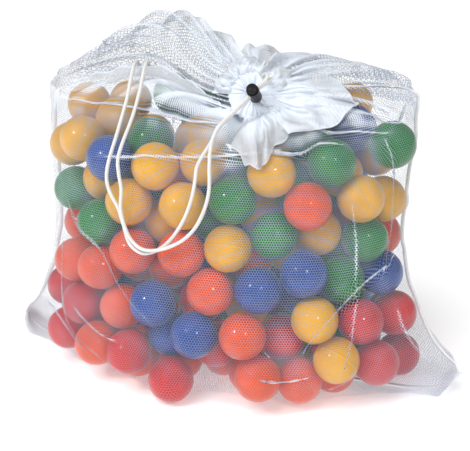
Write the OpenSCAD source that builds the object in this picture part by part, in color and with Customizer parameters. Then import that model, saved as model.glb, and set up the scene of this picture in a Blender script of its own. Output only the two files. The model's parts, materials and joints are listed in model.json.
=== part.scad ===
// Mesh laundry bag, filled with hollow play balls and drawn shut.
// Frame: millimetres, +Z up, the front faces -Y, the origin is on the floor under the middle of the bag.
// Two flat net panels are sewn along the sides and the bottom, and a drawcord gathers the mouth at the neck.

/* [Bag] */
// Half width of the filled bag at its bottom corners
corner_half_w = 320; // [316:1:324]
// Half depth of the filled bag at its waist
waist_half_d = 148; // [146:1:152]
// Thickness of the net
net_t = 0.8; // [0.6:0.1:0.9]
// Width of the sewn seam fins
seam_w = 6; // [4:0.5:8]
// Thickness of the sewn seam fins
seam_t = 1.8; // [1.2:0.1:2.4]

/* [Balls] */
// Outer diameter of one play ball
ball_d = 60; // [56:0.5:60]
// Wall thickness of the blow-moulded shell
ball_wall = 0.8; // [0.6:0.1:1.2]
// Number of balls in the bag
ball_count = 195; // [120:5:195]

/* [Drawcord] */
// Diameter of the braided cord
cord_d = 4.5; // [3.5:0.1:4.6]
// Radius of the gathered neck
neck_r = 24; // [22:0.5:26]
// Outer radius of the casing around the cord
casing_r = 4.4; // [4:0.1:4.8]

/* [Cord lock] */
// Outer diameter of the barrel
barrel_d = 15; // [14:0.5:17]
// Bore of the barrel, which guides the plunger
barrel_bore_d = 11.2; // [11.2:0.1:11.6]
// Diameter of the plunger
plunger_d = 11; // [10.6:0.1:11]
// Travel of the plunger
press_travel = 4; // [3:0.5:4]
// Wire diameter of the spring
spring_wire = 0.6; // [0.5:0.1:0.7]

/* [Hidden] */
gap = 0.2;
white = [0.93, 0.94, 0.96];
net_white = [0.86, 0.90, 0.96];

// ---- Shape of the filled bag ----
// One ring a row, from the bottom seam on the floor up to the drawn mouth: [height, half width, half depth,
// centre x, centre y, tilt, fullness of the corners, lift of the two ends, lift of the left lobe]
neck = [44, -52, 396];
neck_tilt = 70;
floor_half_d = waist_half_d + 32;
RINGS = [
    [  0, corner_half_w,      3,                   0,   0,  0,    0, 32,  0],
    [  0, corner_half_w - 2,  52,                  0,   0,  0, -0.4, 33,  0],
    [  0, corner_half_w - 5,  132,                 0,   0,  0, -0.4, 34,  0],
    [ 10, corner_half_w - 8,  floor_half_d - 12,   0,   0,  0, -0.2, 34,  0],
    [ 38, corner_half_w - 16, floor_half_d,       -2,   0,  0,    0, 20,  0],
    [ 90, corner_half_w - 40, floor_half_d - 4,   -7,   0,  0,  0.2,  4,  0],
    [150, corner_half_w - 70, waist_half_d + 11,  -5,   0,  0,  0.3,  0,  0],
    [215, corner_half_w - 81, waist_half_d + 1,   -4,   0,  0,  0.3,  0,  0],
    [280, corner_half_w - 77, waist_half_d - 2,   -3,   0,  0,  0.3,  0,  0],
    [330, corner_half_w - 66, waist_half_d - 12,  -2,   2,  3,  0.3,  0,  0],
    [368, corner_half_w - 60, 118,                -3,   6,  8,  0.3,  0,  8],
    [392, 240,                92,                 -2,   8, 16,  0.2,  0, 34],
    [402, 186,                66,                  6,  -2, 26,  0.1,  0, 50],
    [404, 112,                44,                 20, -20, 44,    0,  0, 40],
    [401, 56,                 30,                 36, -40, 62,    0,  0, 10],
    [neck.z, neck_r,          neck_r,     neck.x, neck.y, neck_tilt, 0, 0, 0],
    [neck.z - 2, neck_r / 2,  neck_r / 2, neck.x, neck.y + 6, neck_tilt, 0, 0, 0],
    [neck.z - 3, 2,           2,          neck.x, neck.y + 8, neck_tilt, 0, 0, 0]
];
last = len(RINGS) - 1;
neck_ring = last - 2;
rows_per_ring = 2;
columns = 26;
lobe_x = -85;
lobe_w = [110, 62];
twist = 0.09;
twist_top = 230;

// Smooth value of one row of RINGS at a ring number that may lie between two rings.
function station(i) = RINGS[max(0, min(last, i))];
function ring_at(k) = let (i = min(last - 1, floor(k)), t = k - i,
        p0 = station(i - 1), p1 = station(i), p2 = station(i + 1), p3 = station(i + 2))
    0.5 * (2 * p1 + t * (p2 - p0) + t * t * (2 * p0 - 5 * p1 + 4 * p2 - p3)
        + t * t * t * (3 * p1 - p0 - 3 * p2 + p3));

// How far back the bag sits at height z, for each millimetre to the left: its foot is turned a little.
function turned(z) = -twist * pow(max(0, 1 - z / twist_top), 2);

// Point of the bag's outer surface at ring number k and angle a round it, 0 at the right seam.
function skin(k, a) = let (r = ring_at(k), x = r[3] + r[1] * cos(a),
        d = r[2] * sin(a) * (1 + r[6] * cos(a) * cos(a)),
        ends = r[7] * pow(abs(cos(a)), 14),
        lobe = r[8] * (0.8 + 0.2 * sin(a)) * exp(-pow((x - lobe_x) / lobe_w[x < lobe_x ? 0 : 1], 2)))
    [x, r[4] + d * cos(r[5]) + turned(r[0]) * x, max(0, r[0] + d * sin(r[5]) + ends + lobe)];
function unit(v) = v / norm(v);
function skin_normal(k, a) = let (e = 0.02, k0 = max(0, k - e), k1 = min(last, k + e))
    unit(cross(skin(k, a + 0.5) - skin(k, a - 0.5), skin(k1, a) - skin(k0, a)));

// A thick sheet through a grid of outer points and the matching inner points.
module thick_sheet(outer, inner) {
    rows = len(outer);
    cols = len(outer[0]);
    n = rows * cols;
    id = function (i, j, side) side * n + i * cols + j;
    points = [for (grid = [outer, inner]) for (row = grid) for (p = row) p];
    faces = [
        for (i = [0 : rows - 2]) for (j = [0 : cols - 2]) each [
            [id(i, j, 0), id(i + 1, j, 0), id(i + 1, j + 1, 0)],
            [id(i, j, 0), id(i + 1, j + 1, 0), id(i, j + 1, 0)],
            [id(i, j, 1), id(i + 1, j + 1, 1), id(i + 1, j, 1)],
            [id(i, j, 1), id(i, j + 1, 1), id(i + 1, j + 1, 1)]],
        for (i = [0 : rows - 2]) each [
            [id(i, 0, 0), id(i, 0, 1), id(i + 1, 0, 1), id(i + 1, 0, 0)],
            [id(i, cols - 1, 0), id(i + 1, cols - 1, 0), id(i + 1, cols - 1, 1), id(i, cols - 1, 1)]],
        for (j = [0 : cols - 2]) each [
            [id(0, j, 0), id(0, j + 1, 0), id(0, j + 1, 1), id(0, j, 1)],
            [id(rows - 1, j, 0), id(rows - 1, j, 1), id(rows - 1, j + 1, 1), id(rows - 1, j + 1, 0)]]
    ];
    polyhedron(points, faces, convexity = 6);
}

// Half of the net bag, from angle a0 on through half a turn.
module panel(a0) {
    count = last * rows_per_ring;
    grid = function (depth) [for (i = [0 : count]) let (k = i / rows_per_ring)
        [for (j = [0 : columns]) let (a = a0 + 180 * j / columns)
            skin(k, a) - depth * skin_normal(k, a)]];
    thick_sheet(grid(0), grid(net_t));
}
module front_panel() color(net_white) panel(180);
module back_panel() color(net_white) panel(0);

// ---- Swept tubes and strips ----
function tangent(p, i) = unit(p[min(len(p) - 1, i + 1)] - p[max(0, i - 1)]);
// A side direction that is carried along the line without twisting.
function carried(p, side, i = 0, found = []) = i == len(p) ? found :
    let (t = tangent(p, i), from = i == 0 ? side : found[i - 1], s = unit(from - (from * t) * t))
    carried(p, side, i + 1, concat(found, [s]));
function smooth_line(p, steps) = [
    for (i = [0 : len(p) - 2]) for (s = [0 : steps - 1]) let (t = s / steps,
        a = p[max(0, i - 1)], b = p[i], c = p[i + 1], d = p[min(len(p) - 1, i + 2)])
        0.5 * (2 * b + t * (c - a) + t * t * (2 * a - 5 * b + 4 * c - d) + t * t * t * (3 * b - a - 3 * c + d)),
    p[len(p) - 1]];

// Solid between closed outlines, one a row, capped at both ends.
module loft(outlines) {
    m = len(outlines[0]);
    n = len(outlines);
    faces = [
        [for (j = [0 : m - 1]) j],
        [for (j = [m - 1 : -1 : 0]) (n - 1) * m + j],
        for (i = [0 : n - 2]) for (j = [0 : m - 1]) let (k = (j + 1) % m) each [
            [i * m + j, (i + 1) * m + j, (i + 1) * m + k],
            [i * m + j, (i + 1) * m + k, i * m + k]]
    ];
    polyhedron([for (o = outlines) for (p = o) p], faces, convexity = 6);
}
module round_sweep(line, r, sides, side = [0, 0, 1]) {
    dirs = carried(line, side);
    loft([for (i = [0 : len(line) - 1]) let (t = tangent(line, i), s = dirs[i], u = cross(t, s))
        [for (j = [0 : sides - 1]) let (a = 360 * j / sides) line[i] + r * (cos(a) * s + sin(a) * u)]]);
}

// ---- Seams ----
// Overlocked fin that stands out of the bag's side, at angle a.
module side_seam(a) {
    rows = [for (i = [2 : (neck_ring - 1) * 2]) let (k = i / 2) [skin(k, a), skin_normal(k, a),
        unit(skin(k, a + 1) - skin(k, a - 1))]];
    color(white) loft([for (r = rows) let (p = r[0], n = r[1], s = r[2] * seam_t / 2)
        [p + gap * n - s, p + (gap + seam_w) * n - s, p + (gap + seam_w) * n + s, p + gap * n + s]]);
}
module left_side_seam() side_seam(180);
module right_side_seam() side_seam(0);
module bottom_seam() color(white) loft([for (i = [0 : 24]) let (a = 24 + 132 * i / 24,
        p = skin(0, a), q = skin(0, -a), e = [0, gap, 0], up = [0, 0, 1])
    [q + e, p - e, p - e + up, q + e + up]]);

// ---- Neck: casing, ruffle and hem ----
// Places children in the neck's own axes: +Z along the gathered net, out of the bag.
module at_neck(out = 0) translate(neck) rotate([neck_tilt, 0, 0]) translate([0, 0, out]) children();
casing_out = casing_r + gap + 4.4;
tunnel_r = cord_d / 2 + 0.5;
exit_angles = [62, 42];
module casing(a0) color(white) at_neck(casing_out) rotate([0, 0, a0])
    rotate_extrude(angle = 180, $fn = 96) translate([neck_r, 0])
        difference() {
            circle(casing_r, $fn = 32);
            circle(tunnel_r, $fn = 32);
        }
// The back half has the two eyelets that the cord's ends come out of.
module back_casing() color(white) difference() {
    casing(0);
    for (a = exit_angles) at_neck(casing_out) rotate([0, 0, a]) translate([neck_r, 0, 0])
        cylinder(r = tunnel_r, h = 2 * casing_r, $fn = 48);
}
module front_casing() casing(180);

// Wavy header of net beyond the casing, narrow above the neck and hanging as a flap below it.
ruffle_in = neck_r + casing_r + 1;
ruffle_t = 0.8;
waves = 9;
module ruffle(a0, a1, out, rise) {
    steps = 40;
    grid = function (up) [for (f = [0, 0.33, 0.66, 1]) [for (j = [0 : steps])
        let (a = a0 + (a1 - a0) * j / steps, reach = (out - ruffle_in) * (0.6 + 0.4 * sin(180 * j / steps)),
            r = ruffle_in + f * reach)
        [r * cos(a), r * sin(a), 3 - rise * sin(a) * pow(f, 0.8) + 3 * f * sin(waves * a) + up]]];
    color(net_white) at_neck(casing_out - 1) thick_sheet(grid(ruffle_t), grid(0));
}
module back_ruffle() ruffle(10, 178, 42, 0);
module front_ruffle() ruffle(258, 368, 106, 76);

// The hem's left part isn't gathered: it stands up as a fold in front of the left lobe.
fold_t = 1.2;
fold_h = 20;
module hem_fold() {
    steps = 24;
    grid = function (back) [for (f = [0 : 0.25 : 1]) [for (i = [0 : steps])
        let (u = i / steps, k = 11.35 + 1.5 * u, a = 210 + 46 * u, h = fold_h * pow(sin(20 + 140 * u), 0.7))
        skin(k - 0.35 * (1 - f), a) + (gap + fold_t - back + h * pow(f, 1.5)) * skin_normal(k, a)]];
    color(white) thick_sheet(grid(0), grid(fold_t));
}

// ---- Cord lock ----
lock_centre = [51, -92, 409];
lock_tilt = 58;
cord_turn = 230;
slot_w = cord_d + 0.7;
slot_h = 2 * cord_d + 1;
barrel_top = 8;
barrel_floor = 1.5;
barrel_bottom = -16.5;
plunger_bottom = -slot_h / 2 - 1.5;
cap_h = 2.6;
cap_crown = 9;
module at_lock() translate(lock_centre) rotate([lock_tilt, 0, 0]) rotate([0, 0, cord_turn]) children();
module lock_barrel() color([0.05, 0.05, 0.06]) at_lock() difference() {
    translate([0, 0, barrel_bottom]) cylinder(d = barrel_d, h = barrel_top - barrel_bottom, $fn = 64);
    translate([0, 0, barrel_bottom + barrel_floor])
        cylinder(d = barrel_bore_d, h = barrel_top - barrel_bottom, $fn = 64);
    translate([-barrel_d, -slot_w / 2, -slot_h / 2]) cube([2 * barrel_d, slot_w, slot_h]);
}
module lock_plunger() color([0.03, 0.03, 0.03]) at_lock() difference() {
    union() {
        translate([0, 0, plunger_bottom])
            cylinder(d = plunger_d, h = barrel_top + press_travel + 0.5 - plunger_bottom, $fn = 64);
        translate([0, 0, barrel_top + press_travel + 0.5]) rotate_extrude($fn = 64) intersection() {
            square([(barrel_d - 1.6) / 2, cap_h]);
            translate([0, -cap_crown]) circle(r = cap_crown + cap_h, $fn = 96);
        }
    }
    translate([-barrel_d, -slot_w / 2, -slot_h / 2 + 0.15])
        cube([2 * barrel_d, slot_w, slot_h + press_travel + 0.2]);
}
spring_r = 3.6;
spring_turns = 4;
module lock_spring() color([0.7, 0.7, 0.72]) at_lock() {
    low = barrel_bottom + barrel_floor + spring_wire / 2 + 0.05;
    high = plunger_bottom - spring_wire / 2 - 0.05;
    steps = 14 * spring_turns;
    round_sweep([for (i = [0 : steps]) let (a = 360 * spring_turns * i / steps)
        [spring_r * cos(a), spring_r * sin(a), low + (high - low) * i / steps]], spring_wire / 2, 8);
}

// ---- Drawcord ----
cord_r = cord_d / 2;
lay_apart = cord_r + 0.1;
cord_sides = 10;
knot_d = 10.6;
module drawcord_neck_loop() color(white) at_neck(casing_out)
    rotate_extrude($fn = 96) translate([neck_r, 0]) circle(cord_r, $fn = 24);

// Point on the straight run through the lock, at a distance past it, on the outer (1) or inner (-1) strand.
lock_axis = [0, -sin(lock_tilt), cos(lock_tilt)];
run = [cos(cord_turn), sin(cord_turn) * cos(lock_tilt), sin(cord_turn) * sin(lock_tilt)];
function on_run(past, side) = lock_centre + side * lay_apart * lock_axis + past * run;
// From the eyelets to the lock, through it, down the front, and up again over the hem fold.
OUTER_START = [[55, -54, 419], [55, -58, 421], [57, -64, 424], [60, -71, 427], [64, -78, 429], [66, -84, 427]];
OUTER_HANG = [[14, -119, 371], [9, -124, 360], [7, -130, 347], [8, -140, 328], [10, -150, 304], [6, -155, 282],
    [-5, -156, 258], [-20, -158, 241], [-37, -160, 231], [-54, -160, 225], [-72, -158, 224], [-86, -155, 231],
    [-95, -151, 246], [-101, -149, 270], [-100, -147, 295], [-104, -142, 312], [-107, -135, 328],
    [-104, -127, 345], [-96, -109, 374], [-91, -93, 401], [-90, -82, 417], [-90, -74, 426], [-90, -66, 432],
    [-90, -58, 434], [-91, -51, 431], [-94, -47, 426], [-97, -46, 423]];
INNER_START = [[62, -56, 414], [62, -60, 416], [64, -65, 418], [67, -71, 421], [69, -76, 423], [67, -80, 422]];
INNER_HANG = [[15, -114, 370], [9, -119, 360], [4, -123, 350], [-3, -130, 338], [-8, -137, 326], [-9, -144, 309],
    [-12, -149, 290], [-19, -152, 269], [-29, -153, 250], [-42, -154, 233], [-58, -154, 221], [-75, -153, 217],
    [-91, -150, 227], [-100, -146, 252], [-106, -144, 270], [-117, -140, 288], [-122, -136, 305],
    [-120, -130, 326], [-113, -114, 358], [-106, -96, 394], [-105, -84, 412], [-105, -75, 422],
    [-105, -67, 430], [-105, -59, 433], [-105, -51, 431], [-104, -47, 426], [-102, -46, 423]];
RUN_STEPS = [-19, -13, 0, 13, 30, 44];
outer_route = concat(OUTER_START, [for (t = RUN_STEPS) on_run(t, 1)], OUTER_HANG);
inner_route = concat(INNER_START, [for (t = RUN_STEPS) on_run(t, -1)], INNER_HANG);
module strand(route) color(white) round_sweep(smooth_line(route, 2), cord_r, cord_sides);
module drawcord_outer_strand() strand(outer_route);
module drawcord_inner_strand() strand(inner_route);
// Overhand knot in both ends, behind the hem fold.
module cord_end_knot() color(white) translate([-100, -46, 420]) sphere(d = knot_d, $fn = 48);

// ---- Balls ----
// The pile is found by relaxing evenly scattered points until no two balls overlap inside the bag.
floor_z = ball_d / 2 + net_t + 0.7;
wall_gap = ball_d / 2 + net_t + 3.6;
pile_top = 346;
pile_slope = 0.34;
reach_x = [for (i = [3 : 11]) [RINGS[i][0], RINGS[i][1] - wall_gap - 0.85 * RINGS[i][7]]];
reach_y = [for (i = [3 : 11]) [RINGS[i][0], RINGS[i][2] - RINGS[i][4] - wall_gap - 0.25 * RINGS[i][7]]];
middle_x = [for (i = [3 : 11]) [RINGS[i][0], RINGS[i][3]]];
roundness = [[31, 1.5], [60, 1.85], [110, 2.2]];
function in_bag(p) = let (
        z = max(floor_z, min(p.z, pile_top + pile_slope * p.y)),
        m = lookup(z, middle_x), x = p.x - m, t = turned(z), y = p.y - t * p.x, e = lookup(z, roundness),
        f = pow(pow(abs(x) / lookup(z, reach_x), e) + pow(abs(y) / lookup(z, reach_y), e), 1 / e))
    f > 1 ? [m + x / f, y / f + t * (m + x / f), z] : [p.x, p.y, z];
// Points of an even sequence, which fills a box with no clumps.
golden = 1.2207440846;
function part_of_one(x) = x - floor(x);
pile_box = [532, 236, 350];
function scattered(i) = [(part_of_one(0.5 + i / golden) - 0.5) * pile_box.x,
    (part_of_one(0.5 + i / pow(golden, 2)) - 0.5) * pile_box.y,
    31 + part_of_one(0.5 + i / pow(golden, 3)) * pile_box.z];
function first_points(n, i = 1, found = []) = len(found) == n ? found :
    let (p = scattered(i)) first_points(n, i + 1, norm(in_bag(p) - p) < 0.001 ? concat(found, [p]) : found);
function total(v, i = 0, sum = [0, 0, 0]) = i == len(v) ? sum : total(v, i + 1, sum + v[i]);
function neighbours(p, far) = [for (a = [0 : len(p) - 1])
    [for (b = [0 : len(p) - 1]) if (a != b && norm(p[a] - p[b]) < far) b]];
// Moves overlapping balls apart n times, a part of the way each time, and keeps them in the bag.
spacing = ball_d + 0.4;
function relaxed(p, near, n) = n == 0 ? p :
    let (list = n % 20 == 0 ? neighbours(p, 1.5 * ball_d) : near)
    relaxed([for (a = [0 : len(p) - 1]) in_bag(p[a] + 0.6 * total([for (b = list[a])
        let (d = p[a] - p[b], l = norm(d)) if (l < spacing) d * (spacing / l - 1)]))],
        list, n - 1);
relax_steps = 500;
function pile() = let (p = first_points(ball_count)) relaxed(p, [], relax_steps);

// Colours of the pile from the floor up, one row for each layer and one letter for each 60 mm from the left.
CHART = ["RRRROOOYO", "RORBRRYGG", "ROBBORYBG", "BOOYOBOYG", "GGGOYGYGY", "YGYYGOGGY", "GBYYGYYGG", "GYYBYGYGG"];
layer_h = 50;
layer_d = 75;
function letter_at(p) = let (row = CHART[max(0, min(len(CHART) - 1, floor((p.z - 5) / layer_h)))],
        column = max(0, floor((p.x + 240) / 60)), deep = max(0, floor((p.y + 155) / layer_d)))
    row[(column + 2 * deep) % len(row)];

module ball() difference() {
    sphere(d = ball_d, $fn = 48);
    sphere(d = ball_d - 2 * ball_wall, $fn = 48);
}
module balls(letter, tint) color(tint) for (p = pile()) if (letter_at(p) == letter) translate(p) ball();
module balls_red() balls("R", [0.86, 0.22, 0.20]);
module balls_orange() balls("O", [0.95, 0.42, 0.24]);
module balls_yellow() balls("Y", [0.93, 0.70, 0.14]);
module balls_green() balls("G", [0.16, 0.55, 0.27]);
module balls_blue() balls("B", [0.25, 0.36, 0.72]);

front_panel();
back_panel();
left_side_seam();
right_side_seam();
bottom_seam();
front_casing();
back_casing();
front_ruffle();
back_ruffle();
hem_fold();
drawcord_neck_loop();
drawcord_outer_strand();
drawcord_inner_strand();
cord_end_knot();
lock_barrel();
lock_plunger();
lock_spring();
balls_red();
balls_orange();
balls_yellow();
balls_green();
balls_blue();
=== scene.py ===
# Looks of a drawstring net bag full of hollow play balls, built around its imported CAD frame.
import json
import math

import bpy
import numpy as np
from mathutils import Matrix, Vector


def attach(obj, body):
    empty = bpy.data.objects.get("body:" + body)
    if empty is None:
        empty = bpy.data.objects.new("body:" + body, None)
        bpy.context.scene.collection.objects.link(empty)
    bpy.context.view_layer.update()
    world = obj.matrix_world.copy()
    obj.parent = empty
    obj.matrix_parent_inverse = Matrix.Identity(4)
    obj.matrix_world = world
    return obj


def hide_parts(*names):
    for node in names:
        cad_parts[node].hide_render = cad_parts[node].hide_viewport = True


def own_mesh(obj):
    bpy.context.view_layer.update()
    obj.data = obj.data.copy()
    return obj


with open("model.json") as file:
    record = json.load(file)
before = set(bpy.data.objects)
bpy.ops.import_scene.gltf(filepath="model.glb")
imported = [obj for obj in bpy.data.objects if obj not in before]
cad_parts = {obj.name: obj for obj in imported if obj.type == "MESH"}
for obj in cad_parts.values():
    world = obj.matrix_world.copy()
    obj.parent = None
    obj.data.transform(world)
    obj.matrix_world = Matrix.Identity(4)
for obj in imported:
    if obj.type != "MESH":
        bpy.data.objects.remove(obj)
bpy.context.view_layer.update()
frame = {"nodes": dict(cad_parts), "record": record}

MM = 0.001
rng = np.random.default_rng(7)

# ---- camera
VIEW_TARGET = Vector((0.008, 0.0, 0.205))
VIEW_DISTANCE = 1.35
VIEW_AZIMUTH = math.radians(12.5)
VIEW_ELEVATION = math.radians(20)
LENS_MM = 76.6


def add_camera():
    camera = bpy.data.objects.new("camera", bpy.data.cameras.new("camera"))
    bpy.context.scene.collection.objects.link(camera)
    away = Vector((
        math.sin(VIEW_AZIMUTH) * math.cos(VIEW_ELEVATION),
        -math.cos(VIEW_AZIMUTH) * math.cos(VIEW_ELEVATION),
        math.sin(VIEW_ELEVATION),
    ))
    camera.location = VIEW_TARGET + VIEW_DISTANCE * away
    camera.rotation_euler = (-away).to_track_quat("-Z", "Y").to_euler()
    camera.data.lens = LENS_MM
    camera.data.sensor_width = 36
    camera.data.sensor_fit = "HORIZONTAL"
    camera.data.clip_end = 50
    bpy.context.scene.camera = camera


add_camera()


# ---- mesh helpers
def unit(v):
    return v / np.maximum(np.linalg.norm(v, axis=-1, keepdims=True), 1e-12)


def make_piece(name, points, faces, uv=None, values=None, smooth=True):
    """Mesh object from points and face index arrays, with per-corner UVs and named per-point values."""
    mesh = bpy.data.meshes.new(name)
    sizes = np.concatenate([np.full(len(f), f.shape[1]) for f in faces])
    corners = np.concatenate([f.reshape(-1) for f in faces])
    mesh.vertices.add(len(points))
    mesh.vertices.foreach_set("co", np.asarray(points, np.float32).reshape(-1))
    mesh.loops.add(len(corners))
    mesh.loops.foreach_set("vertex_index", corners.astype(np.int32))
    mesh.polygons.add(len(sizes))
    mesh.polygons.foreach_set("loop_start", np.concatenate([[0], np.cumsum(sizes)[:-1]]).astype(np.int32))
    mesh.polygons.foreach_set("use_smooth", np.full(len(sizes), smooth))
    if uv is not None:
        layer = mesh.uv_layers.new(name="fabric")
        layer.data.foreach_set("uv", np.asarray(uv, np.float32)[corners].reshape(-1))
    for key, value in (values or {}).items():
        mesh.attributes.new(key, "FLOAT", "POINT").data.foreach_set("value", np.asarray(value, np.float32))
    mesh.update(calc_edges=True)
    mesh.validate()
    piece = bpy.data.objects.new(name, mesh)
    bpy.context.scene.collection.objects.link(piece)
    return piece


def dress(piece, material, node, body="root"):
    """Gives a piece its material, hides the CAD node that it replaces and hangs the piece on the body that carries it.
    """
    piece.data.materials.append(material)
    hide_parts(node)
    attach(piece, body)


def grid_uv(u, v, rows, cols):
    """Fabric coordinates of a grid of points, in metres, from values that spread over its rows or columns."""
    return np.stack([np.broadcast_to(u, (rows, cols)), np.broadcast_to(v, (rows, cols))], -1).reshape(-1, 2)


def grid_faces(rows, cols, closed_cols=False):
    """Quads of a grid of points stored row by row."""
    i = np.arange(rows - 1)[:, None]
    j = np.arange(cols if closed_cols else cols - 1)[None, :]
    k = (j + 1) % cols
    quads = np.stack([i * cols + j, i * cols + k, (i + 1) * cols + k, (i + 1) * cols + j], -1)
    return quads.reshape(-1, 4)


def end_fans(n, sides):
    """Triangles that close both ends of a tube of n points round two middle points, which come after them."""
    j = np.arange(sides)
    k = (j + 1) % sides
    low = np.stack([np.full(sides, n), k, j], -1)
    high = np.stack([np.full(sides, n + 1), n - sides + j, n - sides + k], -1)
    return np.vstack([low, high])


def spline(points, steps):
    """Smooth line through points (Catmull-Rom), the same as part.scad's smooth_line."""
    p = np.asarray(points, float)
    before = np.vstack([p[:1], p[:-2]])
    after = np.vstack([p[2:], p[-1:]])
    a, b, c, d = before, p[:-1], p[1:], after
    t = (np.arange(steps) / steps)[None, :, None]
    a, b, c, d = (x[:, None, :] for x in (a, b, c, d))
    line = 0.5 * (2 * b + t * (c - a) + t**2 * (2 * a - 5 * b + 4 * c - d) + t**3 * (3 * b - a - 3 * c + d))
    return np.vstack([line.reshape(-1, 3), p[-1:]])


def even_line(points, spacing):
    """The same line with points a fixed distance apart."""
    gaps = np.linalg.norm(np.diff(points, axis=0), axis=1)
    along = np.concatenate([[0], np.cumsum(gaps)])
    count = max(2, int(round(along[-1] / spacing)) + 1)
    s = np.linspace(0, along[-1], count)
    return np.stack([np.interp(s, along, points[:, i]) for i in range(3)], -1), s


def carried_frames(line, side):
    """Tangent, side and up directions that are carried along a line without twisting."""
    tangent = unit(np.gradient(line, axis=0))
    sides = np.empty_like(line)
    s = np.asarray(side, float)
    for i, t in enumerate(tangent):
        s = s - (s @ t) * t
        s = s / np.linalg.norm(s)
        sides[i] = s
    return tangent, sides, np.cross(tangent, sides)


def tube(line, radius, sides, side=(0, 0, 1)):
    """Points and faces of a capped tube; radius is a number or an array of one radius per point and side."""
    _, s, u = carried_frames(line, side)
    a = np.linspace(0, 2 * np.pi, sides, endpoint=False)
    r = np.broadcast_to(np.asarray(radius, float), (len(line), sides))[..., None]
    points = line[:, None] + r * (np.cos(a)[None, :, None] * s[:, None] + np.sin(a)[None, :, None] * u[:, None])
    points = points.reshape(-1, 3)
    faces = [grid_faces(len(line), sides, True), end_fans(len(points), sides)]
    return np.vstack([points, line[:1], line[-1:]]), faces


# ---- material helpers
class Shader:
    """A new node material with short calls for the nodes that it is made of."""

    def __init__(self, name, **sockets):
        self.material = bpy.data.materials.new(name)
        self.material.use_nodes = True
        self.nodes = self.material.node_tree.nodes
        self.links = self.material.node_tree.links
        self.surface = self.nodes["Principled BSDF"]
        for key, value in sockets.items():
            self.surface.inputs[key.replace("_", " ")].default_value = value

    def node(self, kind, inputs=None, **settings):
        made = self.nodes.new("ShaderNode" + kind)
        for key, value in settings.items():
            setattr(made, key, value)
        for key, value in (inputs or {}).items():
            self.set(made.inputs[key], value)
        return made

    def set(self, socket, value):
        if isinstance(value, bpy.types.NodeSocket):
            self.links.new(value, socket)
        else:
            socket.default_value = value

    def math(self, operation, *values):
        made = self.nodes.new("ShaderNodeMath")
        made.operation = operation
        for socket, value in zip(made.inputs, values):
            self.set(socket, value)
        return made.outputs[0]

    def ramp(self, value, low, high, to_low=0.0, to_high=1.0):
        made = self.node("MapRange", {"Value": value, "From Min": low, "From Max": high,
                                      "To Min": to_low, "To Max": to_high})
        made.interpolation_type = "SMOOTHSTEP"
        return made.outputs["Result"]

    def blend(self, factor, first, second):
        made = self.node("Mix", data_type="RGBA")
        self.set(made.inputs[0], factor)
        self.set(made.inputs[6], first)
        self.set(made.inputs[7], second)
        return made.outputs[2]

    def noise(self, scale, detail=3.0):
        made = self.node("TexNoise", {"Scale": scale, "Detail": detail})
        self.set(made.inputs["Vector"], self.node("TexCoord").outputs["Object"])
        return made.outputs["Fac"]

    def bump(self, height, distance, strength=1.0):
        made = self.node("Bump", {"Height": height, "Distance": distance, "Strength": strength})
        self.links.new(made.outputs["Normal"], self.surface.inputs["Normal"])


def linear(color):
    """The linear colour that a shader wants, from a colour as it looks on a screen."""
    return tuple(c ** 2.2 for c in color[:3]) + (1.0,)


def slot_color(slot):
    return linear(next(m for m in frame["record"]["materials"] if m["slot"] == slot)["base_color"])


NET_PITCH = 3.6 * MM
ROW_STEP = math.sqrt(3)
THREAD_HALF = 0.062
THREAD_COVER = 0.7
# Tints of thin net and thin gathers: painted shade, darker and bluer than the white cloth
THIN_NET_PAINTED_SHADE = (0.46, 0.53, 0.65, 1)
THIN_GATHERS_PAINTED_SHADE = (0.80, 0.83, 0.88, 1)


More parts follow.
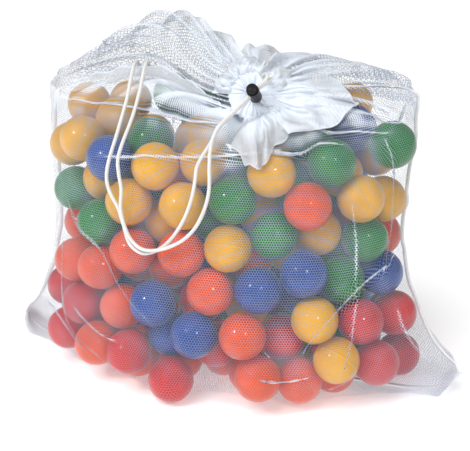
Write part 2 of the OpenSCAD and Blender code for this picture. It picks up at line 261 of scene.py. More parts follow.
def net_material(name, tint, thin_shaded_tint, thread_half):
    """White netting with hexagonal holes, in the fabric's own coordinates. Crowded cloth has thicker threads and stays
    white;
    thinner cloth takes a darker, bluish tint, which is painted shade."""
    m = Shader(name, Roughness=0.62)
    m.surface.inputs["Sheen Weight"].default_value = 0.25
    m.surface.inputs["Specular IOR Level"].default_value = 0.25
    flat = m.node("SeparateXYZ", {"Vector": m.node("UVMap", uv_map="fabric").outputs["UV"]})
    x = m.math("DIVIDE", flat.outputs["X"], NET_PITCH)
    y = m.math("DIVIDE", flat.outputs["Y"], NET_PITCH)

    def cell(shift_x, shift_y):
        px = m.math("SUBTRACT", m.math("FLOORED_MODULO", m.math("SUBTRACT", x, shift_x), 1.0), 0.5)
        py = m.math("SUBTRACT", m.math("FLOORED_MODULO", m.math("SUBTRACT", y, shift_y), ROW_STEP), ROW_STEP / 2)
        return px, py, m.math("ADD", m.math("MULTIPLY", px, px), m.math("MULTIPLY", py, py))

    ax, ay, a_far = cell(0.0, 0.0)
    bx, by, b_far = cell(0.5, ROW_STEP / 2)
    nearer = m.math("LESS_THAN", a_far, b_far)

    def pick(a, b):
        return m.math("ABSOLUTE", m.math("MULTIPLY_ADD", nearer, m.math("SUBTRACT", a, b), b))

    gx, gy = pick(ax, bx), pick(ay, by)
    slanted = m.math("MULTIPLY_ADD", gy, ROW_STEP / 2, m.math("MULTIPLY", gx, 0.5))
    edge = m.math("SUBTRACT", 0.5, m.math("MAXIMUM", gx, slanted))
    crowd = m.node("Attribute", attribute_name="crowd").outputs["Fac"]
    wobble = m.ramp(m.noise(900.0, 2.0), 0.2, 0.8, 0.85, 1.15)
    width = m.math("MULTIPLY", m.math("MULTIPLY", crowd, thread_half), wobble)
    gap = m.math("SUBTRACT", edge, width)
    solid = m.ramp(crowd, 1.0, 2.6, THREAD_COVER, 1.0)
    m.set(m.surface.inputs["Alpha"], m.math("MULTIPLY", m.ramp(gap, -0.02, 0.02, 1.0, 0.0), solid))
    shade = m.ramp(m.noise(60.0, 3.0), 0.3, 0.7)
    pale = tuple(0.93 * c for c in tint[:3]) + (1.0,)
    white = m.blend(shade, tint, pale)
    # Painted shade: the less crowded the cloth, the more it takes the darker, bluish thin tint
    m.set(m.surface.inputs["Base Color"], m.blend(m.ramp(crowd, 1.6, 2.8), thin_shaded_tint, white))
    m.bump(m.ramp(gap, -0.12, 0.0, 1.0, 0.0), 0.3 * MM, 0.5)
    return m.material


def woven_material(name, tint, pitch, roughness=0.7):
    """Dense thread or braid: crossing yarns in the fabric's own coordinates, with painted shade in the grooves between
    them.
    """
    m = Shader(name, Roughness=roughness)
    m.surface.inputs["Sheen Weight"].default_value = 0.3
    flat = m.node("SeparateXYZ", {"Vector": m.node("UVMap", uv_map="fabric").outputs["UV"]})

    def yarns(slant):
        return m.math("SINE", m.math("MULTIPLY", m.math(slant, flat.outputs["X"], flat.outputs["Y"]), math.tau / pitch))

    weave = m.math("MULTIPLY_ADD", m.math("MULTIPLY", yarns("ADD"), yarns("SUBTRACT")), 0.5, 0.5)
    fuzz = m.noise(2500.0, 2.0)
    height = m.math("MULTIPLY_ADD", fuzz, 0.4, weave)
    # Painted shade: the low places between the yarns are coloured darker
    dark = tuple(0.72 * c for c in tint[:3]) + (1.0,)
    m.set(m.surface.inputs["Base Color"], m.blend(m.ramp(height, 0.25, 0.95), dark, tint))
    m.bump(height, 0.25 * MM, 0.7)
    return m.material


def plastic_material(name, tint, roughness, grain, coat=0.0, marks=0.1):
    """Moulded plastic: slow changes of tone, a fine grain and faint scuffs."""
    m = Shader(name)
    m.surface.inputs["Coat Weight"].default_value = coat
    m.surface.inputs["Specular IOR Level"].default_value = 0.2
    m.surface.inputs["Coat Roughness"].default_value = 0.05
    slow = m.noise(28.0, 2.0)
    dark = tuple(0.86 * c for c in tint[:3]) + (1.0,)
    light = tuple(min(1.0, 1.06 * c + 0.01) for c in tint[:3]) + (1.0,)
    m.set(m.surface.inputs["Base Color"], m.blend(m.ramp(slow, 0.3, 0.7), dark, light))
    scuffs = m.ramp(m.noise(240.0, 5.0), 0.55, 0.8)
    m.set(m.surface.inputs["Roughness"], m.math("MULTIPLY_ADD", scuffs, marks, roughness))
    m.bump(m.noise(grain, 2.0), 0.05 * MM, 0.15)
    return m.material


def loop_cord_material():
    m = Shader("cord_in_casing", Roughness=0.75)
    height = m.noise(900.0, 3.0)
    m.set(m.surface.inputs["Base Color"], m.blend(m.ramp(height, 0.3, 0.7), (0.6, 0.6, 0.6, 1), slot_color("cord")))
    m.bump(height, 0.3 * MM, 0.8)
    return m.material


def steel_material():
    m = Shader("spring_steel", Metallic=1.0)
    m.set(m.surface.inputs["Base Color"],
          m.blend(m.noise(300.0, 2.0), (0.5, 0.5, 0.52, 1), slot_color("spring_steel")))
    m.set(m.surface.inputs["Roughness"], m.ramp(m.noise(1500.0, 2.0), 0.3, 0.7, 0.22, 0.4))
    return m.material


# ---- drawcord
CORD_D = 4.5 * MM
CORD_R = CORD_D / 2
LOCK_CENTRE = np.array([51.0, -92.0, 409.0])
LOCK_TILT = math.radians(58)
CORD_TURN = math.radians(230)
LAY_APART = 2.35
LOCK_AXIS = np.array([0, -math.sin(LOCK_TILT), math.cos(LOCK_TILT)])
RUN = np.array([math.cos(CORD_TURN), math.sin(CORD_TURN) * math.cos(LOCK_TILT),
                math.sin(CORD_TURN) * math.sin(LOCK_TILT)])
# The routes of part.scad, in millimetres. The hanging parts weren't chosen by hand from the start: a scratch program
# laid points picked on the photo onto the bag, and they were then moved.
OUTER_START = [[55, -54, 419], [55, -58, 421], [57, -64, 424], [60, -71, 427], [64, -78, 429], [66, -84, 427]]
OUTER_HANG = [[14, -119, 371], [9, -124, 360], [7, -130, 347], [8, -140, 328], [10, -150, 304], [6, -155, 282],
              [-5, -156, 258], [-20, -158, 241], [-37, -160, 231], [-54, -160, 225], [-72, -158, 224],
              [-86, -153, 231], [-95, -151, 246], [-101, -149, 270], [-100, -147, 295], [-104, -142, 312],
              [-107, -135, 328], [-104, -127, 345], [-96, -109, 374], [-91, -93, 401], [-90, -82, 417],
              [-90, -74, 426], [-90, -66, 432], [-90, -58, 434], [-91, -51, 431], [-94, -47, 426], [-97, -46, 423]]
INNER_START = [[62, -56, 414], [62, -60, 416], [64, -65, 418], [67, -71, 421], [69, -76, 423], [67, -80, 422]]
INNER_HANG = [[15, -114, 370], [9, -119, 360], [4, -123, 350], [-3, -130, 338], [-8, -137, 326], [-9, -144, 309],
              [-12, -149, 290], [-19, -152, 269], [-29, -153, 250], [-42, -154, 233], [-58, -154, 221],
              [-75, -153, 217], [-91, -150, 227], [-100, -146, 252], [-106, -144, 270], [-117, -140, 288],
              [-122, -136, 305], [-120, -130, 326], [-113, -114, 358], [-106, -96, 394], [-105, -84, 412],
              [-105, -75, 422], [-105, -67, 430], [-105, -59, 433], [-105, -51, 431], [-104, -47, 426],
              [-102, -46, 423]]
RUN_STEPS = [-19, -13, 0, 13, 30, 44]
KNOT_CENTRE = np.array([-100.0, -46.0, 420.0]) * MM
BRAID_SIDES = 16
BRAID_STEP = 0.7 * MM
BRAID_PITCH = 5.5 * MM


def cord_route(start, side, hang):
    """Points of one strand: out of the casing, straight through the lock, and down the front and up again."""
    run = [LOCK_CENTRE + side * LAY_APART * LOCK_AXIS + t * RUN for t in RUN_STEPS]
    return np.vstack([start, run, hang]) * MM


def braid_uv(count, sides, along):
    """Fabric coordinates of a capped tube of cord."""
    round_cord = np.arange(sides) / sides * math.tau * CORD_R
    uv = grid_uv(round_cord[None, :], along[:, None], count, sides)
    return np.vstack([uv, uv[:1], uv[-1:]])


def braided_cord(name, route, node, material):
    """Cord whose surface has the crossing yarns of a braid. Returns it with its middle line and its length."""
    line, along = even_line(spline(route, 8), BRAID_STEP)
    a = np.linspace(0, 2 * np.pi, BRAID_SIDES, endpoint=False)
    turn = along[:, None] * math.tau / BRAID_PITCH
    yarns = np.abs(np.sin(2 * a[None, :] + turn)) * np.abs(np.sin(2 * a[None, :] - turn))
    points, faces = tube(line, CORD_R * (0.94 + 0.09 * yarns), BRAID_SIDES)
    piece = make_piece(name, points, faces, braid_uv(len(line), BRAID_SIDES, along))
    dress(piece, material, node)
    return piece, line[::6], float(along[-1])


def cord_knot(material):
    """Overhand knot of both ends: a short cord tied in a trefoil."""
    t = np.linspace(0, math.tau, 160)
    x = np.sin(t) + 2 * np.sin(2 * t)
    y = np.cos(t) - 2 * np.cos(2 * t)
    z = -np.sin(3 * t)
    line = KNOT_CENTRE + 1.15 * MM * np.stack([x, y, 1.2 * z], -1)
    points, faces = tube(line, 1.75 * MM, 12)
    piece = make_piece("knot_of_cord_ends", points, faces, braid_uv(len(line), 12, np.linspace(0, 0.05, 160)))
    dress(piece, material, "cord_end_knot")
    return piece


# Spring under the plunger: places along the lock's axis of the middle of its wire, in millimetres
SPRING_LOW, SPRING_HIGH = -14.65, -6.85
SPRING_R, SPRING_WIRE_R, SPRING_TURNS = 3.6, 0.3, 6
SPRING_CLOSED = 0.8


def coil_spring():
    """Compression spring with closed ends."""
    turn = np.linspace(0, SPRING_TURNS, 20 * SPRING_TURNS + 1)
    length = SPRING_HIGH - SPRING_LOW
    end = 2.2 * SPRING_WIRE_R * SPRING_CLOSED
    rise = SPRING_LOW + np.interp(turn, [0, SPRING_CLOSED, SPRING_TURNS - SPRING_CLOSED, SPRING_TURNS],
                                  [0, end, length - end, length])
    across = np.cross(LOCK_AXIS, RUN)
    line = LOCK_CENTRE + rise[:, None] * LOCK_AXIS + SPRING_R * (
        np.cos(math.tau * turn)[:, None] * RUN + np.sin(math.tau * turn)[:, None] * across)
    points, faces = tube(line * MM, SPRING_WIRE_R * MM, 10, side=LOCK_AXIS)
    piece = make_piece("lock_coil_spring", points, faces)
    dress(piece, steel_material(), "lock_spring", body="cord_lock")
    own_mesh(piece)
    return piece


cord_braid = woven_material("cord_braid", linear((0.93, 0.93, 0.92)), 1.6 * MM)
outer_route = cord_route(OUTER_START, 1, OUTER_HANG)
inner_route = cord_route(INNER_START, -1, INNER_HANG)
outer_cord, outer_path, outer_length = braided_cord("drawcord_outer", outer_route, "drawcord_outer_strand", cord_braid)
inner_cord, inner_path, inner_length = braided_cord("drawcord_inner", inner_route, "drawcord_inner_strand", cord_braid)
end_knot = cord_knot(cord_braid)
lock_pieces = [frame["nodes"]["lock_barrel"], frame["nodes"]["lock_plunger"], coil_spring()]


# ---- play balls
BALL_D = 60 * MM
BALL_R = BALL_D / 2
BALL_COLS = 40
# Latitudes of a ball's rings, close together at the moulded parting line and round the sealed blow hole.
BALL_ROWS = [-84, -76, -67, -58, -49, -40, -31, -22, -13, -6, -1.6, -0.6, 0.6, 1.6, 6, 13, 22, 31, 40, 49, 58, 67,
             74, 79, 81, 83, 85, 87]
BALL_TINTS = {
    "red": (0.77, 0.13, 0.09),
    "orange": (0.87, 0.31, 0.05),
    "yellow": (0.88, 0.64, 0.01),
    "green": (0.08, 0.46, 0.13),
    "blue": (0.17, 0.29, 0.57),
}


def ball_centres(node):
    """Middle of each outer sphere in a CAD node of hollow balls."""
    mesh = frame["nodes"][node].data
    co = np.empty(len(mesh.vertices) * 3)
    mesh.vertices.foreach_get("co", co)
    ends = np.empty(len(mesh.edges) * 2, int)
    mesh.edges.foreach_get("vertices", ends)
    co, weld = np.unique(np.round(co.reshape(-1, 3), 6), axis=0, return_inverse=True)
    a, b = weld.reshape(-1)[ends.reshape(-1, 2)].T
    label = np.arange(len(co))
    while True:
        low = np.minimum(label[a], label[b])
        new = label.copy()
        np.minimum.at(new, a, low)
        np.minimum.at(new, b, low)
        new = new[new]
        if (new == label).all():
            break
        label = new
    found = []
    for island in np.unique(label):
        points = co[label == island]
        low, high = points.min(0), points.max(0)
        if (high - low).min() > BALL_D - 0.8 * MM:
            found.append((low + high) / 2)
    return np.array(found)


def ball_shape():
    """Points and faces of one ball round the origin, with its parting line and its sealed blow hole."""
    lat = np.radians(BALL_ROWS)
    ridge = np.where(np.abs(BALL_ROWS) < 1, 0.18 * MM, 0.0)
    plug = np.interp(np.degrees(lat), [78, 79.5, 81, 83, 84, 88], [0, 0.35, 0.3, -0.25, -0.3, -0.25]) * MM
    r = BALL_R + ridge + np.where(np.degrees(lat) > 78, plug, 0) - 0.15 * MM
    a = np.linspace(0, math.tau, BALL_COLS, endpoint=False)
    rings = np.stack([
        (r * np.cos(lat))[:, None] * np.cos(a)[None, :],
        (r * np.cos(lat))[:, None] * np.sin(a)[None, :],
        np.broadcast_to((r * np.sin(lat))[:, None], (len(lat), BALL_COLS)),
    ], -1).reshape(-1, 3)
    points = np.vstack([rings, [[0, 0, -BALL_R + 0.15 * MM]], [[0, 0, BALL_R - 0.4 * MM]]])
    return points, [grid_faces(len(lat), BALL_COLS, True), end_fans(len(rings), BALL_COLS)]


def random_turns(count):
    """Evenly random rotation matrices."""
    q = unit(rng.normal(size=(count, 4)))
    w, x, y, z = q.T
    return np.stack([
        np.stack([1 - 2 * (y * y + z * z), 2 * (x * y - z * w), 2 * (x * z + y * w)], -1),
        np.stack([2 * (x * y + z * w), 1 - 2 * (x * x + z * z), 2 * (y * z - x * w)], -1),
        np.stack([2 * (x * z - y * w), 2 * (y * z + x * w), 1 - 2 * (x * x + y * y)], -1),
    ], 1)


def add_balls(color):
    """All balls of one colour, as one piece. Returns their middles."""
    node = "balls_" + color
    centres = ball_centres(node)
    shape, faces = ball_shape()
    turned = np.einsum("nij,pj->npi", random_turns(len(centres)), shape) + centres[:, None]
    shift = (np.arange(len(centres)) * len(shape))[:, None, None]
    faces = [(f[None] + shift).reshape(-1, f.shape[1]) for f in faces]
    piece = make_piece("play_balls_" + color, turned.reshape(-1, 3), faces)
    gloss = plastic_material("ball_" + color, linear(BALL_TINTS[color]), 0.28, 700.0, 0.5)
    dress(piece, gloss, node)
    return centres


ALL_CENTRES = np.vstack([add_balls(c) for c in BALL_TINTS])

# ---- shape of the filled bag
# The rings of part.scad: height, half width, half depth, centre x, centre y, tilt, corner fullness, lift of the
# ends, lift of the left lobe.
NECK = np.array([44.0, -52.0, 396.0])
NECK_TILT = math.radians(70)
NECK_R = 24.0
RINGS = np.array([
    [0, 320, 3, 0, 0, 0, 0, 32, 0],
    [0, 318, 52, 0, 0, 0, -0.4, 33, 0],
    [0, 315, 132, 0, 0, 0, -0.4, 34, 0],
    [10, 312, 168, 0, 0, 0, -0.2, 34, 0],
    [38, 304, 180, -2, 0, 0, 0, 20, 0],
    [90, 280, 176, -7, 0, 0, 0.2, 4, 0],
    [150, 250, 159, -5, 0, 0, 0.3, 0, 0],
    [215, 239, 149, -4, 0, 0, 0.3, 0, 0],
    [280, 243, 146, -3, 0, 0, 0.3, 0, 0],
    [330, 254, 136, -2, 2, 3, 0.3, 0, 0],
    [368, 260, 118, -3, 6, 8, 0.3, 0, 8],
    [392, 240, 92, -2, 8, 16, 0.2, 0, 34],
    [402, 186, 66, 6, -2, 26, 0.1, 0, 50],
    [404, 112, 44, 20, -20, 44, 0, 0, 40],
    [401, 56, 30, 36, -40, 62, 0, 0, 10],
    [396, 24, 24, 44, -52, 70, 0, 0, 0],
    [394, 12, 12, 44, -46, 70, 0, 0, 0],
    [393, 2, 2, 44, -44, 70, 0, 0, 0],
])
LAST_RING = len(RINGS) - 1
LOBE_X = -85.0
LOBE_W = (110.0, 62.0)
TWIST = 0.09
TWIST_TOP = 230.0


def ring_at(k):
    i = np.clip(np.floor(k).astype(int), 0, LAST_RING - 1)
    t = (k - i)[..., None]
    p0, p1 = RINGS[np.maximum(i - 1, 0)], RINGS[i]
    p2, p3 = RINGS[i + 1], RINGS[np.minimum(i + 2, LAST_RING)]
    return 0.5 * (2 * p1 + t * (p2 - p0) + t**2 * (2 * p0 - 5 * p1 + 4 * p2 - p3)
                  + t**3 * (3 * p1 - p0 - 3 * p2 + p3))


def skin(k, a):
    """Point of the bag's outer surface, in metres, at ring number k and angle a in radians."""
    k, a = np.broadcast_arrays(np.asarray(k, float), np.asarray(a, float))
    z, width, depth, cx, cy, tilt, full, ends, lobe = np.moveaxis(ring_at(k), -1, 0)
    c, s = np.cos(a), np.sin(a)
    x = cx + width * c
    d = depth * s * (1 + full * c * c)
    rise = lobe * (0.8 + 0.2 * s) * np.exp(-((x - LOBE_X) / np.where(x < LOBE_X, *LOBE_W)) ** 2)
    t = np.radians(tilt)
    height = np.maximum(0, z + d * np.sin(t) + ends * np.abs(c) ** 14 + rise)
    turned = -TWIST * np.maximum(0, 1 - z / TWIST_TOP) ** 2
    return np.stack([x, cy + d * np.cos(t) + turned * x, height], -1) * MM


def skin_normal(k, a):
    e = 0.02
    low, high = np.maximum(0, k - e), np.minimum(LAST_RING, k + e)
    return unit(np.cross(skin(k, a + 0.01) - skin(k, a - 0.01), skin(high, a) - skin(low, a)))


# ---- net cloth
PANEL_COLS = 130
COLS = 2 * PANEL_COLS
ROWS = 132
TOP_RING = 17.0
NET_CLEAR = 1.3 * MM


def ring_angles(k, count):
    """Angles that part each half of a ring, back then front, into equal lengths."""
    fine = np.linspace(0, math.tau, 1441)
    line = skin(np.full_like(fine, k), fine)
    along = np.concatenate([[0], np.cumsum(np.linalg.norm(np.diff(line, axis=0), axis=1))])
    half = along[720]
    steps = np.arange(count // 2) / (count // 2)
    return np.concatenate([
        np.interp(steps * half, along[:721], fine[:721]),
        np.interp(half + steps * (along[-1] - half), along[720:], fine[720:]),
    ]), along[-1]


def meridian_rings(count):
    """Ring numbers that part the bag's height into equal mean lengths, and that length."""
    k = np.linspace(0, TOP_RING, 601)
    lengths = []
    for a in np.arange(0, 360, 15):
        line = skin(k, np.full_like(k, math.radians(a)))
        lengths.append(np.concatenate([[0], np.cumsum(np.linalg.norm(np.diff(line, axis=0), axis=1))]))
    mean = np.mean(lengths, axis=0)
    return np.interp(np.linspace(0, mean[-1], count), mean, k), mean[-1]


def neighbours(x):
    """Mean of the four neighbours of every point of the closed grid."""
    around = 0.5 * (np.roll(x, 1, 1) + np.roll(x, -1, 1))
    up = x.copy()
    up[1:-1] = 0.5 * (x[:-2] + x[2:])
    return 0.5 * (around + up)


def nearest_balls(x):
    far = (ALL_CENTRES**2).sum(-1) - 2 * x.reshape(-1, 3) @ ALL_CENTRES.T
    return np.argpartition(far, 5, axis=1)[:, :5].T


def push_out(x, clear, near=None):
    """Moves points out of the balls."""
    flat = x.reshape(-1, 3)
    for ball in nearest_balls(x) if near is None else near:
        gap = flat - ALL_CENTRES[ball]
        length = np.linalg.norm(gap, axis=1, keepdims=True)
        flat = np.where(length < clear, ALL_CENTRES[ball] + gap / length * clear, flat)
    return flat.reshape(x.shape)


def drape(rounds):
    """Net drawn tight over the balls: the bag's outer shape, shrunk like a film that the balls hold out."""
    rings, height = meridian_rings(ROWS)
    angles = np.array([ring_angles(k, COLS)[0] for k in rings])
    x = skin(np.broadcast_to(rings[:, None], angles.shape), angles)
    grip = np.clip((11.0 - rings) / 1.6, 0, 1)[:, None, None] * np.clip((rings - 0.3) / 0.8, 0, 1)[:, None, None]
    ear = np.clip((np.abs(x[..., :1]) - 0.262) / 0.03, 0, 1) * np.clip((0.075 - x[..., 2:]) / 0.03, 0, 1)
    grip = grip * (1 - ear)
    for step in range(rounds):
        if step % 60 == 0:
            near = nearest_balls(x)
        x = x + 0.9 * grip * (neighbours(x) - x)
        if step % 3 == 2 or step == rounds - 1:
            x = push_out(x, BALL_R + NET_CLEAR, near)
        x[..., 2] = np.maximum(x[..., 2], 0.6 * MM)
    return x, rings, height


def finer(x):
    """The closed grid with a new row and column between every two, on smooth curves through the old points."""
    mid = (9 * (x + np.roll(x, -1, 1)) - np.roll(x, 1, 1) - np.roll(x, -2, 1)) / 16
    x = np.stack([x, mid], 2).reshape(len(x), -1, *x.shape[2:])
    mid = (x[:-1] + x[1:]) / 2
    mid[1:-1] = (9 * (x[1:-2] + x[2:-1]) - x[:-3] - x[3:]) / 16
    fine = np.empty((2 * len(x) - 1, *x.shape[1:]))
    fine[::2], fine[1::2] = x, mid
    return fine


net, net_rings, NET_HEIGHT = drape(300)
net = finer(net)
ROWS, COLS, PANEL_COLS = len(net), 2 * COLS, 2 * PANEL_COLS
net_rings = np.interp(np.arange(ROWS) / 2, np.arange(len(net_rings)), net_rings)
net_angles = np.array([ring_angles(k, COLS)[0] for k in net_rings])
perimeters = np.linalg.norm(np.diff(np.concatenate([net, net[:, :1]], 1), axis=1), axis=2).sum(1)
NET_WIDTH = round(float(perimeters[16:180].max()) / 2, 2)


def grid_normals(x):
    across = np.roll(x, -1, 1) - np.roll(x, 1, 1)
    return unit(np.cross(across, np.gradient(x, axis=0)))


def sample(grid, row, col):
    """Values of a closed grid between its points."""
    row = np.clip(row, 0, ROWS - 1.0001)
    i, j = np.floor(row).astype(int), np.floor(col).astype(int)
    s, t = (row - i)[..., None], (col - j)[..., None]
    a, b = grid[i, j % COLS], grid[i, (j + 1) % COLS]
    c, d = grid[i + 1, j % COLS], grid[i + 1, (j + 1) % COLS]
    return (a * (1 - t) + b * t) * (1 - s) + (c * (1 - t) + d * t) * s


def smooth_noise(rows, cols, cell_rows, cell_cols):
    """Seeded noise on the closed grid, from -1 to 1, smooth over cells of the given size."""
    small = rng.uniform(-1, 1, (rows // cell_rows + 3, max(3, cols // cell_cols)))
    i = np.linspace(0, small.shape[0] - 1.001, rows)
    j = np.arange(cols) / cols * small.shape[1]
    i0, j0 = np.floor(i).astype(int), np.floor(j).astype(int)
    s, t = (i - i0), (j - j0)
    s, t = (s * s * (3 - 2 * s))[:, None], (t * t * (3 - 2 * t))[None, :]
    n = small.shape[1]
    top = small[i0][:, j0 % n] * (1 - t) + small[i0][:, (j0 + 1) % n] * t
    low = small[i0 + 1][:, j0 % n] * (1 - t) + small[i0 + 1][:, (j0 + 1) % n] * t
    return top * (1 - s) + low * s


# Loose folds of the net: the places on the bag that each runs through, (degrees, ring number), then how far the
# cloth laps over itself, how high it stands and how wide its double band is to each side, in millimetres, and the
# share of that at its two ends. A scratch program turned points picked on the photo into the places of all folds
# but those at the back, and some were then moved.
FOLDS = [
    # The tuck across the front
    ([(231, 9.0), (248, 9.15), (264, 9.35), (276, 9.55), (292, 9.8)], 6, 6, 20, 0.06, 1.0),
    # Top edge of the cloth turned over the left shoulder, and the loose cloth behind it
    ([(178, 11.6), (203, 12.1), (212, 12.8), (190, 13.6)], 3, 5, 5, 0.7, 1.0),
    ([(208, 10.9), (239, 10.8), (258, 10.7), (275, 10.8)], 5, 6, 4, 0.6, 1.0),
    # Folds that run from the mouth over the left lobe
    ([(136, 12.5), (144, 13.0), (147, 13.6), (149, 14.5)], 4, 7, 5, 0.8, 1.0),
    ([(118, 12.6), (119, 13.1), (122, 13.6), (131, 14.5)], 4, 7, 6, 0.5, 1.0),
    ([(107, 11.1), (110, 12.4), (112, 13.4), (116, 14.3)], 4, 5, 4, 0.5, 1.0),
    ([(150, 11.6), (165, 12.2), (180, 13.0), (178, 13.8)], 4, 5, 3, 0.5, 1.0),
    # Right shoulder
    ([(344, 10.4), (329, 10.7), (318, 11.7), (312, 12.6)], 5, 7, 6, 0.4, 1.0),
    ([(331, 10.2), (316, 10.5), (305, 10.6), (299, 11.2)], 5, 7, 6, 0.4, 1.0),
    ([(312, 10.0), (303, 10.1), (297, 9.7), (288, 9.6)], 4, 6, 5, 0.6, 1.0),
    # Right side
    ([(328, 10.1), (337, 8.6), (341, 7.4), (334, 6.4)], 5, 6, 6, 0.7, 1.0),
    ([(347, 6.8), (323, 6.4), (305, 5.6), (299, 5.1)], 5, 6, 6, 1.0, 0.4),
    ([(341, 5.7), (342, 5.0), (346, 4.2)], 3, 4, 5, 1.0, 0.6),
    ([(315, 4.6), (309, 4.2), (303, 3.8)], 3, 4, 5, 0.6, 1.0),
    ([(318, 8.2), (322, 7.0), (318, 5.6), (308, 4.4)], 3, 4, 4, 0.5, 1.0),
    # Left side and the lower front
    ([(217, 7.7), (226, 7.2), (237, 6.9), (246, 6.2), (258, 5.5)], 4, 5, 5, 1.0, 0.4),
    ([(207, 5.2), (218, 5.1), (232, 4.5), (239, 3.9)], 4, 4, 5, 1.0, 0.5),
    ([(212, 7.0), (216, 6.0), (226, 5.0), (244, 4.2)], 3, 4, 4, 0.5, 1.0),
    ([(227, 5.5), (239, 5.1), (247, 5.0)], 3, 3, 4, 1.0, 0.5),
    ([(286, 4.5), (292, 4.4), (300, 4.5)], 3, 4, 4, 1.0, 0.6),
    # Back
    ([(20, 10.2), (26, 8.8), (22, 7.2), (28, 5.4)], 5, 5, 6, 1.0, 0.5),
    ([(60, 10.3), (58, 9.0), (66, 7.4), (62, 5.8)], 4, 5, 5, 0.6, 1.0),
    ([(88, 10.0), (94, 8.2), (86, 6.6)], 4, 4, 4, 1.0, 0.5),
    ([(122, 10.4), (116, 8.8), (124, 7.0), (118, 5.0)], 5, 5, 5, 1.0, 0.5),
    ([(158, 10.0), (152, 8.4), (160, 6.4), (154, 4.6)], 4, 5, 5, 0.6, 1.0),
    ([(30, 9.4), (55, 9.7), (85, 9.6), (110, 9.2)], 5, 6, 7, 0.4, 1.0),
]
FOLD_SPREAD = 3.2
# What folds, pleats and the gathers round the mouth add to how crowded the cloth is; the pleats' share, on their crests
# only, also whitens them as painted light
FOLD_DENSE, PLEAT_DENSE, MOUTH_DENSE = 1.0, 1.1, 2.6
MOUTH_REACH = 75 * MM
# Cloth this near a ball is stretched thin; cloth this far from every ball hangs loose and looks thicker
TAUT_AIR, TAUT_THIN = 20 * MM, 0.35
LOOSE_AIR, LOOSE_THICK = (16 * MM, 40 * MM), 0.5


def fold_path(points):
    """Fold path in grid rows and columns, one point about every two columns."""
    rows, cols = [], []
    for degrees, ring in points:
        row = np.interp(ring, net_rings, np.arange(ROWS))
        angles = net_angles[int(round(row))]
        rows.append(row)
        cols.append(np.interp(math.radians(degrees), np.append(angles, math.tau), np.arange(COLS + 1)))
    line = spline(np.stack([rows, cols, np.zeros(len(rows))], -1), 12)
    return line[:, :2]


def folded(grid):
    """Laps the net over itself along each fold and returns where each point of the cloth goes, and its lift."""
    row, col = np.meshgrid(np.arange(ROWS, dtype=float), np.arange(COLS, dtype=float), indexing="ij")
    lift = np.zeros((ROWS, COLS))
    dense = np.zeros((ROWS, COLS))
    cell_h = NET_HEIGHT / (ROWS - 1)
    cell_w = 2 * NET_WIDTH / COLS
    for points, lap, height, band, first, second in FOLDS:
        path = fold_path(points)
        along = np.linspace(0, 1, len(path))
        direction = unit(np.gradient(path, axis=0) * [cell_h, cell_w])
        side = np.stack([direction[:, 1], -direction[:, 0]], -1)
        gap_r = (row[..., None] - path[:, 0]) * cell_h
        gap_c = (col[..., None] - path[:, 1]) * cell_w
        near = np.argmin(gap_r**2 + gap_c**2, axis=-1)
        gr = np.take_along_axis(gap_r, near[..., None], -1)[..., 0]
        gc = np.take_along_axis(gap_c, near[..., None], -1)[..., 0]
        s, d = side[near], direction[near]
        across = gr * s[..., 0] + gc * s[..., 1]
        beyond = np.abs(gr * d[..., 0] + gc * d[..., 1])
        part = along[near]
        fade = np.clip(np.minimum(part, 1 - part) / 0.14, 0.03, 1) * (first + (second - first) * part)
        fade = fade * np.exp(-(beyond / (12 * MM)) ** 2)
        width = lap * MM
        t = across / width
        move = -FOLD_SPREAD * width * t * np.exp(-t * t) * fade
        row += move * s[..., 0] / cell_h
        col += move * s[..., 1] / cell_w
        rise = np.where(t < 0, np.exp(-(t / 1.4) ** 2), np.exp(-(t / 2.6) ** 2))
        lift += height * MM * rise * fade * (0.5 + 0.5 * np.tanh(1.4 * t))
        edge = across / (band * MM * np.maximum(fade, 0.05))
        dense = np.maximum(dense, np.exp(-(edge**4)) * np.clip(4 * fade, 0, 1) * np.exp(-(beyond / (6 * MM)) ** 2))
    return row, col, lift, dense


def pleats(x):
    """Gathers that fill the crowded cloth round the mouth: the spare width stands up as radial pleats."""
    ring = net_rings[:, None]
    spare = np.maximum(0, 2 * NET_WIDTH / np.maximum(perimeters, 0.05) - 1.08)[:, None]
    turns = net_angles + 0.05 * smooth_noise(ROWS, COLS, 48, 36)
    wave = np.zeros((ROWS, COLS))
    for count, size, seed in ((23, 1.0, 0.3), (37, 0.6, 1.7), (52, 0.35, 4.1)):
        wobble = 0.9 * smooth_noise(ROWS, COLS, 32, 24)
        wave += size * np.sin(count * turns + seed + wobble)
    wave = np.sign(wave) * np.abs(wave) ** 0.7
    fade = np.clip((ring - 9.9) / 1.6, 0, 1) * np.clip((TOP_RING + 0.6 - ring) / 1.2, 0.3, 1)
    size = np.minimum(np.minimum(9.0, 11.0 * np.sqrt(spare)) * MM, 0.05 * perimeters[:, None])
    strength = 0.65 + 0.35 * smooth_noise(ROWS, COLS, 40, 18)
    # Second value: only the pleats' crests are crowded, so they come out more opaque and whiter, partly more cloth and
    # partly painted light on the crests
    return size * fade * wave * strength, fade * np.clip(wave, 0, 1) ** 2


def net_surface():
    """Points of the finished net, and how much its folds and pleats crowd it."""
    row, col, lift, dense = folded(net)
    normals = grid_normals(net)
    surface = sample(net, row, col)
    out = unit(sample(normals, row, col))
    creases = 1.1 * MM * smooth_noise(ROWS, COLS, 6, 10) + 1.3 * MM * smooth_noise(ROWS, COLS, 28, 8)
    calm = np.clip(net_rings / 1.5, 0, 1)[:, None]
    rise, crests_crowded_and_lit = pleats(net)
    lift = lift + np.maximum(creases, -0.3 * MM) * calm + rise
    surface = surface + lift[..., None] * out
    surface = push_out(surface, BALL_R + 1.0 * MM)
    surface[..., 2] = np.maximum(surface[..., 2], 0.5 * MM)
    return surface, 1 + FOLD_DENSE * dense + PLEAT_DENSE * crests_crowded_and_lit


